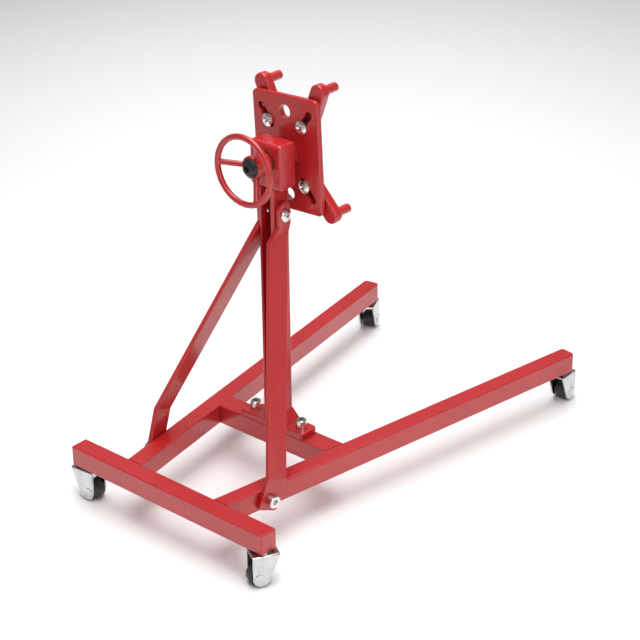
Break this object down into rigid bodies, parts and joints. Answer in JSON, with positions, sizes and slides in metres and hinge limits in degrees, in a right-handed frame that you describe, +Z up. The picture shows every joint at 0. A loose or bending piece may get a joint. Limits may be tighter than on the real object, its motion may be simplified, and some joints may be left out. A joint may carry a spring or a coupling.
{
  "type": "engine stand",
  "caption": "Rolling engine stand: splayed base on swivel casters, braced upright, and a rotating head plate with handwheel and adjustable mounting arms.",
  "frame": {"origin": "on the floor, under the middle of the bounding box", "axes": "+Z up, +Y from the front crossbar along the legs to their open ends and along the head spindle, +X to the right as seen from the handwheel side"},
  "size_m": [0.0892, 0.1494, 0.124],
  "materials": {
    "red_powder_coat": "satin red powder coat over steel",
    "nickel_steel": "bright nickel-plated screws",
    "black_oxide_steel": "black oxide",
    "chromed_steel": "bright plated pressed steel",
    "black_plastic": "moulded black wheel",
    "bronze": "plain bronze bush, hidden"
  },
  "bodies": {
    "frame": {"front_crossbar": "red_powder_coat", "left_rail": "red_powder_coat", "right_rail": "red_powder_coat", "crossmember": "red_powder_coat", "post_foot": "red_powder_coat", "foot_screws": "nickel_steel", "post_channel": "red_powder_coat", "left_brace": "red_powder_coat", "right_brace": "red_powder_coat", "brace_top_screws": "nickel_steel", "brace_bottom_screws": "nickel_steel", "head_housing": "red_powder_coat", "front_bush": "bronze", "rear_bush": "bronze", "front_left_caster_stem": "chromed_steel", "front_right_caster_stem": "chromed_steel", "rear_left_caster_stem": "chromed_steel", "rear_right_caster_stem": "chromed_steel", "front_left_caster_washer": "chromed_steel", "front_right_caster_washer": "chromed_steel", "rear_left_caster_washer": "chromed_steel", "rear_right_caster_washer": "chromed_steel"},
    "head": {"spindle": "red_powder_coat", "handwheel": "red_powder_coat", "handwheel_screw": "black_oxide_steel", "head_plate": "red_powder_coat", "plate_screw": "nickel_steel"},
    "upper_left_clamp": {"upper_left_arm_screw": "nickel_steel"},
    "upper_left_arm": {"upper_left_arm": "red_powder_coat"},
    "upper_right_clamp": {"upper_right_arm_screw": "nickel_steel"},
    "upper_right_arm": {"upper_right_arm": "red_powder_coat"},
    "lower_left_clamp": {"lower_left_arm_screw": "nickel_steel"},
    "lower_left_arm": {"lower_left_arm": "red_powder_coat"},
    "lower_right_clamp": {"lower_right_arm_screw": "nickel_steel"},
    "lower_right_arm": {"lower_right_arm": "red_powder_coat"},
    "front_left_fork": {"front_left_caster_fork": "chromed_steel", "front_left_caster_axle": "chromed_steel"},
    "front_left_wheel": {"front_left_caster_wheel": "black_plastic"},
    "front_right_fork": {"front_right_caster_fork": "chromed_steel", "front_right_caster_axle": "chromed_steel"},
    "front_right_wheel": {"front_right_caster_wheel": "black_plastic"},
    "rear_left_fork": {"rear_left_caster_fork": "chromed_steel", "rear_left_caster_axle": "chromed_steel"},
    "rear_left_wheel": {"rear_left_caster_wheel": "black_plastic"},
    "rear_right_fork": {"rear_right_caster_fork": "chromed_steel", "rear_right_caster_axle": "chromed_steel"},
    "rear_right_wheel": {"rear_right_caster_wheel": "black_plastic"}
  },
  "joints": [
    {"name": "head_turn", "type": "hinge", "parent": "frame", "child": "head", "pos_m": [0.0005, -0.02311, 0.10235], "axis": [0, 1, 0], "continuous": true},
    {"name": "upper_left_slide", "type": "slide", "parent": "head", "child": "upper_left_clamp", "axis": [-0.6047, 0, 0.7964], "range_m": [-0.00125, 0.00458]},
    {"name": "upper_left_swing", "type": "hinge", "parent": "upper_left_clamp", "child": "upper_left_arm", "pos_m": [-0.00622, -0.01368, 0.11087], "axis": [0, 1, 0], "range_deg": [-45, 45]},
    {"name": "upper_right_slide", "type": "slide", "parent": "head", "child": "upper_right_clamp", "axis": [0.5271, 0, 0.8498], "range_m": [-0.00125, 0.00458]},
    {"name": "upper_right_swing", "type": "hinge", "parent": "upper_right_clamp", "child": "upper_right_arm", "pos_m": [0.00638, -0.01368, 0.11147], "axis": [0, 1, 0], "range_deg": [-45, 45]},
    {"name": "lower_left_slide", "type": "slide", "parent": "head", "child": "lower_left_clamp", "axis": [-0.5271, 0, -0.8498], "range_m": [-0.00125, 0.00458]},
    {"name": "lower_left_swing", "type": "hinge", "parent": "lower_left_clamp", "child": "lower_left_arm", "pos_m": [-0.00539, -0.01368, 0.09323], "axis": [0, 1, 0], "range_deg": [-45, 45]},
    {"name": "lower_right_slide", "type": "slide", "parent": "head", "child": "lower_right_clamp", "axis": [0.6047, 0, -0.7964], "range_m": [-0.00125, 0.00458]},
    {"name": "lower_right_swing", "type": "hinge", "parent": "lower_right_clamp", "child": "lower_right_arm", "pos_m": [0.00721, -0.01368, 0.09383], "axis": [0, 1, 0], "range_deg": [-45, 45]},
    {"name": "front_left_swivel", "type": "hinge", "parent": "frame", "child": "front_left_fork", "pos_m": [-0.03415, -0.06941, 0.01015], "axis": [0, 0, 1], "continuous": true},
    {"name": "front_left_spin", "type": "hinge", "parent": "front_left_fork", "child": "front_left_wheel", "pos_m": [-0.03216, -0.0692, 0.003], "axis": [-0.1045, 0.9945, 0], "continuous": true},
    {"name": "front_right_swivel", "type": "hinge", "parent": "frame", "child": "front_right_fork", "pos_m": [0.03625, -0.06941, 0.01015], "axis": [0, 0, 1], "continuous": true},
    {"name": "front_right_spin", "type": "hinge", "parent": "front_right_fork", "child": "front_right_wheel", "pos_m": [0.03525, -0.07114, 0.003], "axis": [0.866, -0.5, 0], "continuous": true},
    {"name": "rear_left_swivel", "type": "hinge", "parent": "frame", "child": "rear_left_fork", "pos_m": [-0.04029, 0.06936, 0.01015], "axis": [0, 0, 1], "continuous": true},
    {"name": "rear_left_spin", "type": "hinge", "parent": "rear_left_fork", "child": "rear_left_wheel", "pos_m": [-0.04108, 0.0712, 0.003], "axis": [-0.9205, -0.3907, 0], "continuous": true},
    {"name": "rear_right_swivel", "type": "hinge", "parent": "frame", "child": "rear_right_fork", "pos_m": [0.04129, 0.06936, 0.01015], "axis": [0, 0, 1], "continuous": true},
    {"name": "rear_right_spin", "type": "hinge", "parent": "rear_right_fork", "child": "rear_right_wheel", "pos_m": [0.04122, 0.07136, 0.003], "axis": [-0.9994, -0.0349, 0], "continuous": true}
  ]
}
